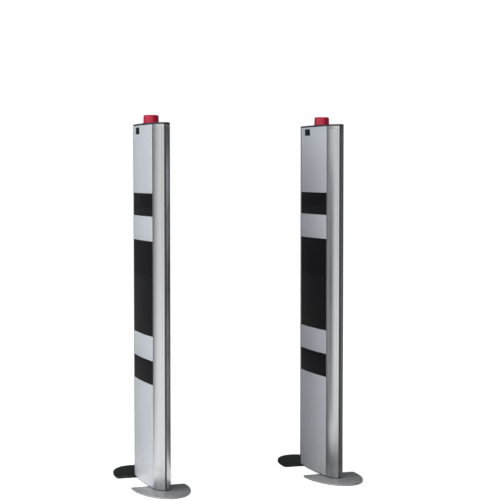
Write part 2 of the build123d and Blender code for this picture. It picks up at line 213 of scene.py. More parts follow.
class GateColours(bpy.types.PropertyGroup):
    """Colours of the finishes"""

    silver: bpy.props.FloatVectorProperty(
        name="Silver Shell",
        description="Paint of the shells",
        subtype="COLOR",
        default=(0.61, 0.65, 0.71),
    )
    rail: bpy.props.FloatVectorProperty(
        name="Rail Metal",
        description="Anodised metal of the rails",
        subtype="COLOR",
        default=(0.66, 0.675, 0.69),
    )
    gloss_black: bpy.props.FloatVectorProperty(
        name="Gloss Band",
        description="Gloss plastic of the bands",
        subtype="COLOR",
        default=(0.007, 0.007, 0.009),
    )
    dark: bpy.props.FloatVectorProperty(
        name="Dark Plastic",
        description="Plastic of the caps and lamp bases",
        subtype="COLOR",
        default=(0.040, 0.039, 0.045),
    )
    # painted shade: the nose strips are coloured this dark to stand for the shaded far flank of each
    # rail nose; the cable grommets share the colour as their own
    rubber_and_painted_shade: bpy.props.FloatVectorProperty(
        name="Bumper Rubber",
        description="Rubber of the strips in the rail noses",
        subtype="COLOR",
        default=(0.060, 0.063, 0.063),
    )
    lens: bpy.props.FloatVectorProperty(
        name="Lamp Lens",
        description="Clear red plastic of the lenses",
        subtype="COLOR",
        default=(0.62, 0.004, 0.052),
    )
    near_foot: bpy.props.FloatVectorProperty(
        name="Near Foot",
        description="Powder coat of the near foot plates",
        subtype="COLOR",
        default=(0.36, 0.375, 0.38),
    )
    # painted shade: the far foot plates are coloured near-black where the far end lies in shade
    shaded_far_foot: bpy.props.FloatVectorProperty(
        name="Far Foot",
        description="Powder coat of the far foot plates",
        subtype="COLOR",
        default=(0.014, 0.017, 0.018),
    )


# ---------------------------------------------------------------- modelling helpers


def start_clean():
    """Nothing selected, in object mode"""
    if bpy.context.mode != "OBJECT":
        bpy.ops.object.mode_set(mode="OBJECT")
    bpy.ops.object.select_all(action="DESELECT")


def settle(piece, name):
    """Name the new piece and put its place, turn and size into its mesh"""
    piece.name = name
    piece.data.name = name
    bpy.ops.object.transform_apply(location=True, rotation=True, scale=True)
    return piece


def edit(piece):
    """Open one piece in edit mode with everything selected"""
    start_clean()
    bpy.context.view_layer.objects.active = piece
    piece.select_set(True)
    bpy.ops.object.mode_set(mode="EDIT")
    bpy.ops.mesh.select_all(action="SELECT")


def leave_edit():
    bpy.ops.object.mode_set(mode="OBJECT")


def select_none(piece, kind="VERT"):
    """Nothing selected on the piece, ready to select by place, in object mode"""
    edit(piece)
    bpy.ops.mesh.select_mode(type=kind)
    bpy.ops.mesh.select_all(action="DESELECT")
    leave_edit()


def pick_edges(piece, axis, level, tolerance):
    """Select the edges that lie at one level along an axis, and open the piece"""
    vertices = piece.data.vertices
    for edge in piece.data.edges:
        edge.select = all(abs(vertices[i].co[axis] - level) < tolerance for i in edge.vertices)
    bpy.ops.object.mode_set(mode="EDIT")


def close_mesh():
    """Merge doubles and turn every face outwards"""
    bpy.ops.mesh.select_all(action="SELECT")
    bpy.ops.mesh.remove_doubles(threshold=SAME_LEVEL)
    bpy.ops.mesh.normals_make_consistent(inside=False)


def round_edges(piece, radius, segments=2, sharpness=50):
    """Round every edge that is sharper than the angle"""
    edit(piece)
    bpy.ops.mesh.select_mode(type="EDGE")
    bpy.ops.mesh.select_all(action="DESELECT")
    bpy.ops.mesh.edges_select_sharp(sharpness=math.radians(sharpness))
    bpy.ops.mesh.bevel(offset=radius, segments=segments, profile=0.5, affect="EDGES")
    bpy.ops.mesh.select_mode(type="VERT")
    leave_edit()


def smooth(piece, angle=35):
    start_clean()
    bpy.context.view_layer.objects.active = piece
    piece.select_set(True)
    bpy.ops.object.shade_smooth_by_angle(angle=math.radians(angle))


def join(pieces, name):
    """Join several meshes into the first"""
    start_clean()
    for piece in pieces:
        piece.select_set(True)
    bpy.context.view_layer.objects.active = pieces[0]
    if len(pieces) > 1:
        bpy.ops.object.join()
    pieces[0].name = name
    pieces[0].data.name = name
    return pieces[0]


def cut_away(piece, tool):
    """Cut the tool's shape out of the piece, then remove the tool"""
    start_clean()
    bpy.context.view_layer.objects.active = piece
    piece.select_set(True)
    cut = piece.modifiers.new("Cut", "BOOLEAN")
    cut.operation = "DIFFERENCE"
    cut.solver = "EXACT"
    cut.object = tool
    bpy.ops.object.modifier_apply(modifier=cut.name)
    bpy.data.objects.remove(tool)


def arc_slab(name, centre, radii, angles, heights, steps=ROUND_STEPS):
    """Upright curved slab: a rectangle spun about an upright axis"""
    inner, outer = radii
    first, last = angles
    low, high = heights
    middle = (inner + outer) / 2
    start_clean()
    bpy.ops.mesh.primitive_plane_add(
        size=1,
        location=(
            centre[0] + middle * math.cos(first),
            centre[1] + middle * math.sin(first),
            (low + high) / 2,
        ),
        rotation=(math.pi / 2, 0, first),
    )
    piece = bpy.context.active_object
    piece.scale = (outer - inner, high - low, 1)
    settle(piece, name)
    edit(piece)
    bpy.ops.mesh.spin(
        steps=steps,
        angle=first - last,
        center=(centre[0], centre[1], 0),
        axis=(0, 0, 1),
    )
    close_mesh()
    leave_edit()
    return piece


def block(name, low, high):
    """Upright box between two corners"""
    start_clean()
    bpy.ops.mesh.primitive_cube_add(
        size=1, location=[(a + b) / 2 for a, b in zip(low, high)]
    )
    piece = bpy.context.active_object
    piece.scale = [b - a for a, b in zip(low, high)]
    return settle(piece, name)


def disc(name, centre, radius, low, high, vertices=64):
    """Upright cylinder"""
    start_clean()
    bpy.ops.mesh.primitive_cylinder_add(
        vertices=vertices,
        radius=radius,
        depth=high - low,
        location=(centre[0], centre[1], (low + high) / 2),
    )
    return settle(bpy.context.active_object, name)


# ---------------------------------------------------------------- the plan section


class Section:
    """Arcs of one column's plan outline, seen from its own centre"""

    def __init__(self, sizes):
        self.seam_y = self.rail_seam(sizes)
        rise = sizes.crown_half - sizes.seam_half
        self.face_radius = (self.seam_y**2 + rise**2) / (2 * rise)
        self.face_x = sizes.crown_half - self.face_radius
        self.face_angle = math.asin(self.seam_y / self.face_radius)
        normal = (math.cos(self.face_angle), math.sin(self.face_angle))
        step = (
            sizes.nose_half - sizes.seam_half,
            sizes.column_half - self.seam_y,
        )
        along = step[0] * normal[0] + step[1] * normal[1]
        self.rail_radius = -(step[0] ** 2 + step[1] ** 2) / (2 * along)
        self.rail_x = sizes.seam_half - self.rail_radius * normal[0]
        self.rail_y = self.seam_y - self.rail_radius * normal[1]
        self.nose_angle = math.atan2(
            sizes.column_half - self.rail_y, sizes.nose_half - self.rail_x
        )
        self.column_half = sizes.column_half

    @staticmethod
    def rail_seam(sizes):
        """Where rail and shell meet, half the seam gap beyond the shell's edge"""
        return (SHELL_HIGH.y - SHELL_LOW.y) / 2 + sizes.seam_gap

    def outline(self, inset, steps):
        """Points round the outline, drawn smaller by the inset"""
        quarter = []
        face = self.face_radius - inset
        for i in range(steps):
            angle = self.face_angle * i / steps
            quarter.append((self.face_x + face * math.cos(angle), face * math.sin(angle)))
        rail = self.rail_radius - inset
        end_y = self.column_half - inset
        last = math.asin(min(1.0, (end_y - self.rail_y) / rail))
        for i in range(steps + 1):
            angle = self.face_angle + (last - self.face_angle) * i / steps
            quarter.append(
                (self.rail_x + rail * math.cos(angle), self.rail_y + rail * math.sin(angle))
            )
        half = quarter + [(-x, y) for x, y in reversed(quarter)]
        other = [(x, -y) for x, y in reversed(half)]
        return half + other[1:-1]

    def face_arc(self, side, centre_x, reach):
        """Centre and angles of a broad face, as far as reach each way along Y"""
        angle = math.asin(reach / self.face_radius)
        if side > 0:
            return (centre_x + self.face_x, 0), (-angle, angle)
        return (centre_x - self.face_x, 0), (math.pi - angle, math.pi + angle)

    def rail_arc(self, side, end, centre_x, first=0.0, last=1.0):
        """Centre and angles of one curved flank of a rail, by share of its sweep"""
        sweep = self.nose_angle - self.face_angle
        low = self.face_angle + sweep * first
        high = self.face_angle + sweep * last
        if side > 0 and end > 0:
            angles = (low, high)
        elif side < 0 and end > 0:
            angles = (math.pi - high, math.pi - low)
        elif side < 0:
            angles = (math.pi + low, math.pi + high)
        else:
            angles = (-high, -low)
        return (centre_x + side * self.rail_x, end * self.rail_y), angles


def plate_from_outline(name, points, centre_x, low, high):
    """Flat plate with the given outline, pulled up to its thickness"""
    start_clean()
    bpy.ops.mesh.primitive_circle_add(
        vertices=len(points), radius=1, fill_type="NGON", location=(0, 0, 0)
    )
    piece = settle(bpy.context.active_object, name)
    for vertex, (x, y) in zip(piece.data.vertices, points):
        vertex.co = (centre_x + x, y, low)
    edit(piece)
    bpy.ops.mesh.extrude_region_move(TRANSFORM_OT_translate={"value": (0, 0, high - low)})
    close_mesh()
    leave_edit()
    return piece


def centre_of(hand):
    low, high = column_box(hand + "_top_cap")
    return (low.x + high.x) / 2


# ---------------------------------------------------------------- materials


class Finish:
    """A material under construction, with short ways to add and join nodes"""

    def __init__(self, name):
        self.material = bpy.data.materials.new(name)
        self.material.use_nodes = True
        self.tree = self.material.node_tree
        self.shader = self.tree.nodes["Principled BSDF"]
        self.where = self.add("ShaderNodeTexCoord").outputs["Object"]

    def add(self, kind, **settings):
        node = self.tree.nodes.new(kind)
        for key, value in settings.items():
            setattr(node, key, value)
        return node

    def join(self, source, target):
        self.tree.links.new(source, target)

    def set(self, **values):
        """Plain values on the shader's own sockets"""
        for key, value in values.items():
            self.shader.inputs[key.replace("_", " ")].default_value = value

    def group(self, group, **values):
        """A shared node group, with its own values"""
        node = self.add("ShaderNodeGroup", node_tree=group)
        self.join(self.where, node.inputs["Where"])
        for key, value in values.items():
            node.inputs[key.replace("_", " ")].default_value = value
        return node

    def mix(self, mask, first, second):
        """Colour mix; first and second are colours or sockets"""
        node = self.add("ShaderNodeMix", data_type="RGBA")
        if hasattr(mask, "is_linked"):
            self.join(mask, node.inputs["Factor"])
        else:
            node.inputs["Factor"].default_value = mask
        for value, key in ((first, 6), (second, 7)):
            if hasattr(value, "is_linked"):
                self.join(value, node.inputs[key])
            else:
                node.inputs[key].default_value = (*value[:3], 1)
        return node.outputs[2]

    def cast(self, mask, colour, low, high):
        """The colour, drifting between a darker and a lighter cast of itself"""
        darker, lighter = ([min(1.0, c * share) for c in colour] for share in (low, high))
        return self.mix(mask, darker, lighter)

    def surface(self, colour, rough):
        """Join the finished colour and roughness to the shader"""
        self.join(colour, self.shader.inputs["Base Color"])
        self.join(rough, self.shader.inputs["Roughness"])

    def ramp(self, source, low, high):
        """Stretch a 0 to 1 mask between two values"""
        node = self.add("ShaderNodeMapRange")
        self.join(source, node.inputs["Value"])
        node.inputs["To Min"].default_value = low
        node.inputs["To Max"].default_value = high
        return node.outputs["Result"]

    def combine(self, first, second, operation="ADD"):
        node = self.add("ShaderNodeMath", operation=operation)
        for value, socket in zip((first, second), node.inputs):
            if hasattr(value, "is_linked"):
                self.join(value, socket)
            else:
                socket.default_value = value
        return node.outputs[0]

    def bump(self, height, strength, distance):
        node = self.add("ShaderNodeBump")
        node.inputs["Strength"].default_value = strength
        node.inputs["Distance"].default_value = distance
        self.join(height, node.inputs["Height"])
        self.join(node.outputs["Normal"], self.shader.inputs["Normal"])


def new_group(name, inputs, outputs):
    """Empty shader node group with named sockets"""
    group = bpy.data.node_groups.new(name, "ShaderNodeTree")
    group.interface.new_socket("Where", in_out="INPUT", socket_type="NodeSocketVector")
    for key, value in inputs.items():
        socket = group.interface.new_socket(key, in_out="INPUT", socket_type="NodeSocketFloat")
        socket.default_value = value
    for key in outputs:
        group.interface.new_socket(key, in_out="OUTPUT", socket_type="NodeSocketFloat")
    return group, group.nodes.new("NodeGroupInput"), group.nodes.new("NodeGroupOutput")


def math_node(group, operation, first, second, third=None):
    node = group.nodes.new("ShaderNodeMath")
    node.operation = operation
    for value, socket in zip((first, second, third), node.inputs):
        if value is None:
            continue
        if hasattr(value, "is_linked"):
            group.links.new(value, socket)
        else:
            socket.default_value = value
    return node.outputs[0]


def noise_node(group, where, scale, detail=3.0, rough=0.55):
    node = group.nodes.new("ShaderNodeTexNoise")
    group.links.new(where, node.inputs["Vector"])
    if hasattr(scale, "is_linked"):
        group.links.new(scale, node.inputs["Scale"])
    else:
        node.inputs["Scale"].default_value = scale
    node.inputs["Detail"].default_value = detail
    node.inputs["Roughness"].default_value = rough
    return node.outputs["Fac"]


def range_node(group, value, low, high):
    node = group.nodes.new("ShaderNodeMapRange")
    node.interpolation_type = "SMOOTHSTEP"
    group.links.new(value, node.inputs["Value"])
    for key, bound in (("From Min", low), ("From Max", high)):
        if hasattr(bound, "is_linked"):
            group.links.new(bound, node.inputs[key])
        else:
            node.inputs[key].default_value = bound
    return node.outputs["Result"]


def make_grain_group():
    """Even fine grain: a height for bump and a slow tone drift"""
    group, given, out = new_group("Even Grain", {"Scale": 400.0, "Drift": 3.0}, ("Height", "Tone"))
    fine = noise_node(group, given.outputs["Where"], given.outputs["Scale"], 2.0)
    slow = noise_node(group, given.outputs["Where"], given.outputs["Drift"], 4.0)
    group.links.new(fine, out.inputs["Height"])
    group.links.new(slow, out.inputs["Tone"])
    return group


def make_brushed_group():
    """Long fine lines that run up the piece"""
    group, given, out = new_group("Drawn Lines", {"Scale": 900.0}, ("Height", "Tone"))
    stretch = group.nodes.new("ShaderNodeMapping")
    stretch.inputs["Scale"].default_value = (1.0, 1.0, 0.004)
    group.links.new(given.outputs["Where"], stretch.inputs["Vector"])
    lines = noise_node(group, stretch.outputs["Vector"], given.outputs["Scale"], 2.0)
    broad_scale = math_node(group, "MULTIPLY", given.outputs["Scale"], 0.13)
    broad = noise_node(group, stretch.outputs["Vector"], broad_scale, 2.0)
    group.links.new(lines, out.inputs["Height"])
    group.links.new(math_node(group, "MULTIPLY_ADD", lines, 0.5, broad), out.inputs["Tone"])
    return group


def make_dust_group():
    """Dust that thickens towards the floor, and smudges at hand height"""
    group, given, out = new_group(
        "Dust And Smudges", {"Dust Top": 0.35, "Smudge Scale": 9.0}, ("Dust", "Smudge")
    )
    split = group.nodes.new("ShaderNodeSeparateXYZ")
    group.links.new(given.outputs["Where"], split.inputs["Vector"])
    rise = range_node(group, split.outputs["Z"], given.outputs["Dust Top"], 0.0)
    patches = noise_node(group, given.outputs["Where"], 34.0, 6.0, 0.62)
    dust = math_node(group, "MULTIPLY", rise, range_node(group, patches, 0.38, 0.72))
    group.links.new(dust, out.inputs["Dust"])
    smears = noise_node(group, given.outputs["Where"], given.outputs["Smudge Scale"], 5.0)
    group.links.new(range_node(group, smears, 0.5, 0.78), out.inputs["Smudge"])
    return group


def make_scuff_group():
    """Short rubbed marks: thin streaks cut out of a patchy mask"""
    group, given, out = new_group("Rub Marks", {"Amount": 0.5, "Top": 0.5}, ("Mask",))
    split = group.nodes.new("ShaderNodeSeparateXYZ")
    group.links.new(given.outputs["Where"], split.inputs["Vector"])
    low_down = range_node(group, split.outputs["Z"], given.outputs["Top"], 0.0)
    turn = group.nodes.new("ShaderNodeMapping")
    turn.inputs["Rotation"].default_value = (0.5, 0.35, 0.0)
    turn.inputs["Scale"].default_value = (1.0, 0.08, 1.0)
    group.links.new(given.outputs["Where"], turn.inputs["Vector"])
    streaks = range_node(group, noise_node(group, turn.outputs["Vector"], 240.0, 2.0), 0.66, 0.74)
    patch = range_node(group, noise_node(group, given.outputs["Where"], 11.0, 3.0), 0.52, 0.7)
    both = math_node(group, "MULTIPLY", streaks, patch)
    both = math_node(group, "MULTIPLY", both, low_down)
    group.links.new(math_node(group, "MULTIPLY", both, given.outputs["Amount"]), out.inputs["Mask"])
    return group


class Finishes:
    """All the materials of the gate, made once"""

    def __init__(self, colours):
        self.grain = make_grain_group()
        self.drawn = make_brushed_group()
        self.dust = make_dust_group()
        self.rubs = make_scuff_group()
        self.silver = self.silver_paint(colours.silver)
        self.rail = self.anodised(colours.rail)
        self.band = self.gloss_plastic("Gloss Black", colours.gloss_black, 0.09, 0.22)
        self.window = self.gloss_plastic("Window Black", (0.007, 0.013, 0.016), 0.06, 0.4)
        self.dark = self.fine_plastic("Dark Plastic", colours.dark, 0.28)
        self.rubber_and_painted_shade = self.rubber_and_nose_shade_finish(colours.rubber_and_painted_shade)
        self.near_foot = self.powder_coat("Grey Powder Coat", colours.near_foot, 0.24)
        # painted shade: the near-black coat of the far foot plates stands for the shade at the far end
        self.shaded_far_foot = self.powder_coat("Black Powder Coat", colours.shaded_far_foot, 0.42)
        self.lens = self.clear_red(colours.lens)
        self.circuit = self.solder_mask()
        self.laminate = self.fine_plastic("Laminate", (0.50, 0.45, 0.33), 0.55)
        self.copper = self.drawn_metal("Enamelled Copper", (0.62, 0.24, 0.10), 0.3)
        self.zinc = self.drawn_metal("Zinc Plate", (0.56, 0.57, 0.58), 0.36)
        self.case = self.powder_coat("Supply Case", (0.30, 0.31, 0.33), 0.4)
        self.rocker = self.fine_plastic("Rocker Red", (0.42, 0.02, 0.02), 0.35)

    def silver_paint(self, colour):
        finish = Finish("Silver Shell Paint")
        grain = finish.group(self.grain, Scale=520.0, Drift=2.2)
        flake = finish.group(self.grain, Scale=2600.0, Drift=900.0)
        dust = finish.group(self.dust, Dust_Top=0.30, Smudge_Scale=7.0)
        tone = finish.cast(grain.outputs["Tone"], colour, 0.90, 1.08)
        sparkle = finish.mix(finish.ramp(flake.outputs["Height"], 0.0, 0.22), tone, (0.85, 0.87, 0.9))
        dusty = finish.mix(finish.ramp(dust.outputs["Dust"], 0.0, 0.35), sparkle, (0.46, 0.44, 0.41))
        smudged = finish.ramp(dust.outputs["Smudge"], 0.36, 0.44)
        finish.surface(dusty, finish.combine(smudged, finish.ramp(dust.outputs["Dust"], 0.0, 0.2)))
        finish.set(Metallic=0.2, Coat_Weight=0.1, Coat_Roughness=0.25)
        finish.bump(grain.outputs["Height"], 0.05, 0.0004)
        return finish.material

    def anodised(self, colour):
        finish = Finish("Anodised Rail")
        lines = finish.group(self.drawn, Scale=1100.0)
        rubs = finish.group(self.rubs, Amount=0.6, Top=0.7)
        dust = finish.group(self.dust, Dust_Top=0.22, Smudge_Scale=14.0)
        tone = finish.cast(finish.ramp(lines.outputs["Tone"], -0.2, 1.0), colour, 0.88, 1.1)
        rubbed = finish.mix(rubs.outputs["Mask"], tone, (0.30, 0.30, 0.30))
        dusty = finish.mix(finish.ramp(dust.outputs["Dust"], 0.0, 0.4), rubbed, (0.40, 0.38, 0.35))
        drawn = finish.ramp(lines.outputs["Height"], 0.30, 0.42)
        finish.surface(dusty, finish.combine(drawn, finish.ramp(rubs.outputs["Mask"], 0.0, 0.2)))
        finish.set(Metallic=0.95)
        finish.bump(lines.outputs["Height"], 0.10, 0.0002)
        return finish.material

    def gloss_plastic(self, name, colour, rough, specular):
        finish = Finish(name)
        grain = finish.group(self.grain, Scale=240.0, Drift=5.0)
        dust = finish.group(self.dust, Dust_Top=0.6, Smudge_Scale=12.0)
        tone = finish.cast(grain.outputs["Tone"], colour, 0.75, 1.3)
        dusty = finish.mix(finish.ramp(dust.outputs["Dust"], 0.0, 0.015), tone, (0.4, 0.39, 0.37))
        finish.surface(dusty, finish.ramp(dust.outputs["Smudge"], rough, rough + 0.16))
        finish.set(Specular_IOR_Level=specular, Specular_Tint=(0.11, 0.11, 0.12, 1))
        finish.bump(grain.outputs["Height"], 0.02, 0.0004)
        return finish.material

    def fine_plastic(self, name, colour, rough):
        finish = Finish(name)
        grain = finish.group(self.grain, Scale=1500.0, Drift=14.0)
        tone = finish.cast(grain.outputs["Tone"], colour, 0.8, 1.25)
        finish.surface(tone, finish.ramp(grain.outputs["Height"], rough - 0.05, rough + 0.08))
        finish.bump(grain.outputs["Height"], 0.25, 0.0003)
        return finish.material

    # painted shade: the dark nose strips stand for the shaded far flank of each rail nose; the cable
    # grommets share this material as their own dark finish
    def rubber_and_nose_shade_finish(self, colour):
        finish = Finish("Bumper Rubber")
        lines = finish.group(self.drawn, Scale=500.0)
        rubs = finish.group(self.rubs, Amount=0.7, Top=1.1)
        dust = finish.group(self.dust, Dust_Top=0.4, Smudge_Scale=20.0)
        tone = finish.cast(lines.outputs["Height"], colour, 0.8, 1.25)
        rubbed = finish.mix(rubs.outputs["Mask"], tone, (0.22, 0.22, 0.22))
        dusty = finish.mix(finish.ramp(dust.outputs["Dust"], 0.0, 0.3), rubbed, (0.3, 0.29, 0.27))
        finish.surface(dusty, finish.ramp(lines.outputs["Height"], 0.48, 0.66))
        finish.bump(lines.outputs["Height"], 0.35, 0.0004)
        return finish.material

    def powder_coat(self, name, colour, rough):
        finish = Finish(name)
        grain = finish.group(self.grain, Scale=700.0, Drift=9.0)
        rubs = finish.group(self.rubs, Amount=0.5, Top=0.6)
        dust = finish.group(self.dust, Dust_Top=0.05, Smudge_Scale=26.0)
        tone = finish.cast(grain.outputs["Tone"], colour, 0.85, 1.15)
        rubbed = finish.mix(rubs.outputs["Mask"], tone, [min(1, c * 1.8 + 0.03) for c in colour])
        dusty = finish.mix(finish.ramp(dust.outputs["Smudge"], 0.0, 0.12), rubbed, (0.36, 0.35, 0.33))
        finish.surface(dusty, finish.ramp(dust.outputs["Smudge"], rough, rough + 0.16))
        finish.bump(grain.outputs["Height"], 0.22, 0.0004)
        return finish.material

    def drawn_metal(self, name, colour, rough):
        finish = Finish(name)
        lines = finish.group(self.drawn, Scale=1400.0)
        tone = finish.cast(lines.outputs["Height"], colour, 0.7, 1.2)
        finish.surface(tone, finish.ramp(lines.outputs["Height"], rough - 0.06, rough + 0.1))
        finish.set(Metallic=0.95)
        finish.bump(lines.outputs["Height"], 0.2, 0.0002)
        return finish.material

    def clear_red(self, colour):
        finish = Finish("Clear Red Lens")
        grain = finish.group(self.grain, Scale=180.0, Drift=30.0)
        dust = finish.group(self.dust, Dust_Top=0.1, Smudge_Scale=40.0)
        tone = finish.cast(grain.outputs["Tone"], colour, 0.85, 1.12)
        # painted shade: the red darkens towards the lens outline, where the surface turns away from the
        # view
        edge = finish.add("ShaderNodeLayerWeight")
        edge.inputs["Blend"].default_value = 0.35
        grazing_shade = finish.mix(edge.outputs["Facing"], tone, [c * 0.35 for c in colour])
        finish.surface(grazing_shade, finish.ramp(dust.outputs["Smudge"], 0.08, 0.2))
        finish.set(Transmission_Weight=0.25, IOR=1.49, Subsurface_Weight=0.15)
        finish.set(Coat_Weight=0.3, Emission_Strength=0.05)
        finish.shader.inputs["Emission Color"].default_value = (1.0, 0.02, 0.1, 1)
        finish.shader.inputs["Subsurface Radius"].default_value = (0.02, 0.002, 0.002)
        finish.bump(grain.outputs["Height"], 0.05, 0.0005)
        return finish.material

    def solder_mask(self):
        finish = Finish("Solder Mask")
        grain = finish.group(self.grain, Scale=900.0, Drift=40.0)
        tracks = finish.add("ShaderNodeTexVoronoi", distance="MANHATTAN", feature="DISTANCE_TO_EDGE")
        tracks.inputs["Scale"].default_value = 160.0
        finish.join(finish.where, tracks.inputs["Vector"])
        line = finish.add("ShaderNodeMapRange")
        line.inputs["From Min"].default_value = 0.03
        line.inputs["From Max"].default_value = 0.05
        finish.join(tracks.outputs["Distance"], line.inputs["Value"])
        green = finish.mix(grain.outputs["Tone"], (0.010, 0.085, 0.035), (0.016, 0.13, 0.05))
        tracked = finish.mix(line.outputs["Result"], (0.05, 0.26, 0.10), green)
        finish.surface(tracked, finish.ramp(grain.outputs["Height"], 0.25, 0.4))
        finish.bump(line.outputs["Result"], 0.3, 0.0001)
        return finish.material


MADE = {}


def finishes():
    """The materials, made on first use"""
    if "finishes" not in MADE:
        MADE["finishes"] = Finishes(bpy.context.scene.gate_colours)
    return MADE["finishes"]


def dress(piece, material):
    piece.data.materials.clear()
    piece.data.materials.append(material)


def redress(node, material):
    """Put a better material in a CAD node's own slots, with its mesh as it was"""
    if not node.material_slots:
        raise RuntimeError(f"{node.name} has no material slot")
    for slot in node.material_slots:
        slot.link = "OBJECT"
        slot.material = material


def deliver(piece, material, slot, body, *nodes):
    """Stand the finished piece in its place, with its material, body and nodes. The slot argument is
    not used.
    """
    bpy.ops.object.select_all(action="DESELECT")
    piece.select_set(True)
    bpy.context.view_layer.objects.active = piece
    bpy.ops.transform.translate(value=(0, COLUMN_Y, 0))
    bpy.ops.object.transform_apply(location=True, rotation=True, scale=True)
    dress(piece, material)
    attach(piece, body)
    if nodes:
        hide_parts(*nodes)


# ---------------------------------------------------------------- operators


class GATE_OT_rails(bpy.types.Operator):
    """Model the four curved rails with their shell lips, nose blocks and end pieces"""

    bl_idname = "gate.rails"
    bl_label = "Rails"

    def execute(self, context):
        sizes = context.scene.gate_sizes
        section = Section(sizes)
        for hand in HANDS:
            for end_name, end in ENDS.items():
                self.rail(sizes, section, hand, end_name, end)
        return {"FINISHED"}

    def flank(self, section, centre_x, side, end, shares, radii, heights):
        centre, angles = section.rail_arc(side, end, centre_x, *shares)
        steps = max(3, round(ROUND_STEPS * (shares[1] - shares[0])))
        return arc_slab("flank", centre, radii, angles, heights, steps)

    def lip(self, sizes, section, centre_x, side, end):
        """Strip behind the shell's edge, which the shell rests on"""
        centre, angles = section.face_arc(side, centre_x, section.seam_y + LIP_PAST_SEAM)
        last = angles[1] if side * end > 0 else angles[0]
        first = last - side * end * LIP_WIDTH / section.face_radius
        outer = section.face_radius - sizes.shell_wall - LIP_CLEARANCE
        radii = (outer - sizes.rail_wall, outer)
        heights = (BODY_BOTTOM, BODY_TOP)
        return arc_slab("lip", centre, radii, sorted((first, last)), heights, 2)

    def rail(self, sizes, section, hand, end_name, end):
        node = f"{hand}_{end_name}_rail"
        centre_x = centre_of(hand)
        outer = section.rail_radius
        inner = outer - sizes.rail_wall
        groove = outer - sizes.rail_wall / 4
        split = BODY_TOP - sizes.end_piece
        line = sizes.band_gap / 2
        body, top = (BODY_BOTTOM, split - line), (split, BODY_TOP)
        skin = (inner, outer)
        start, stop = GROOVE_SHARES
        stretches = (
            ((0.0, start), skin, body),
            ((start, stop), (inner, groove), body),
            ((stop, 1.0), skin, body),
            ((0.0, 1.0), skin, top),
        )
        rail_parts = []
        for side in (-1, 1):
            for shares, radii, heights in stretches:
                rail_parts.append(
                    self.flank(section, centre_x, side, end, shares, radii, heights)
                )
            rail_parts.append(self.lip(sizes, section, centre_x, side, end))
        nose_y = end * (section.column_half - NOSE_BLOCK_START)
        block_y = end * (section.column_half - NOSE_BLOCK_END)
        half = sizes.nose_half + NOSE_BLOCK_SIDE
        nose = block(
            "nose",
            (centre_x - half, min(nose_y, block_y), BODY_BOTTOM),
            (centre_x + half, max(nose_y, block_y), BODY_TOP),
        )
        rail = join(rail_parts + [nose], hand + "_" + end_name + "_rail_body")
        round_edges(rail, sizes.edge_round, 2)
        smooth(rail)
        deliver(rail, finishes().rail, "rail_metal", BODY, node)


class GATE_OT_bumpers(bpy.types.Operator):
    """Model the domed dark strips in the rail noses; their dark colour is painted shade standing for
    the shaded far flank of each nose
    """

    bl_idname = "gate.bumpers"
    bl_label = "Bumpers"

    def execute(self, context):
        for hand in HANDS:
            for end_name, end in ENDS.items():
                node = f"{hand}_{end_name}_bumper"
                low, high = column_box(node)
                half = (high.x - low.x) / 2
                tip = high.y if end > 0 else low.y
                bulge = abs(tip) - context.scene.gate_sizes.column_half
                radius = (half**2 + bulge**2) / (2 * bulge)
                spread = math.asin(half / radius)
                centre = ((low.x + high.x) / 2, tip - end * radius)
                middle = math.pi / 2 * end
                strip = arc_slab(
                    node + "_strip",
                    centre,
                    (radius - STRIP_DEPTH, radius),
                    (middle - spread, middle + spread),
                    (BODY_BOTTOM, BODY_TOP),
                    8,
                )
                round_edges(strip, STRIP_ROUND, 2)
                smooth(strip)
                # the dark nose strip is painted shade for the far flank of the nose
                deliver(strip, finishes().rubber_and_painted_shade, "bumper_rubber", BODY, node)
        return {"FINISHED"}


class GATE_OT_shells(bpy.types.Operator):
    """Model the silver shells, with a seat for each gloss band"""

    bl_idname = "gate.shells"
    bl_label = "Shells"

    def execute(self, context):
        sizes = context.scene.gate_sizes
        section = Section(sizes)
        for hand in HANDS:
            for side_name, side in SIDES.items():
                self.shell(sizes, section, hand, side_name, side)
        return {"FINISHED"}

    def shell(self, sizes, section, hand, side_name, side):
        node = f"{hand}_{side_name}_shell"
        centre_x = centre_of(hand)
        reach = section.seam_y - sizes.seam_gap
        centre, angles = section.face_arc(side, centre_x, reach)
        outer = section.face_radius
        seat = outer - sizes.band_depth
        back = outer - sizes.shell_wall
        steps = 2 * ROUND_STEPS
        whole = (BODY_BOTTOM, BODY_TOP)
        layers = [arc_slab("back", centre, (back, seat + LAYER_OVERLAP), angles, whole, steps)]
        level = BODY_BOTTOM
        for place in ("low", "mid", "top", None):
            if place:
                low, high = column_box(f"{hand}_{side_name}_{place}_band")
                stop = low.z - sizes.band_gap
                following = high.z + sizes.band_gap
            else:
                stop, following = BODY_TOP, None
            strip = arc_slab("strip", centre, (seat, outer), angles, (level, stop), steps)
            round_edges(strip, sizes.edge_round, 2)
            layers.append(strip)
            level = following
        shell = join(layers, node + "_skin")
        smooth(shell)
        deliver(shell, finishes().silver, "silver_shell", BODY, node)


class GATE_OT_bands(bpy.types.Operator):
    """Model the gloss bands, flush with the shells"""

    bl_idname = "gate.bands"
    bl_label = "Gloss Bands"

    def execute(self, context):
        sizes = context.scene.gate_sizes
        section = Section(sizes)
        reach = section.seam_y - sizes.seam_gap
        for hand in HANDS:
            for side_name, side in SIDES.items():
                for place in ("low", "mid", "top"):
                    node = f"{hand}_{side_name}_{place}_band"
                    low, high = column_box(node)
                    centre, angles = section.face_arc(side, centre_of(hand), reach)
                    radii = (section.face_radius - sizes.band_depth, section.face_radius)
                    heights = (low.z, high.z)
                    name = node + "_gloss"
                    band = arc_slab(name, centre, radii, angles, heights, 2 * ROUND_STEPS)
                    round_edges(band, sizes.edge_round * BAND_ROUND_SHARE, 2)
                    smooth(band)
                    deliver(band, finishes().band, "gloss_black_band", BODY, node)
        return {"FINISHED"}


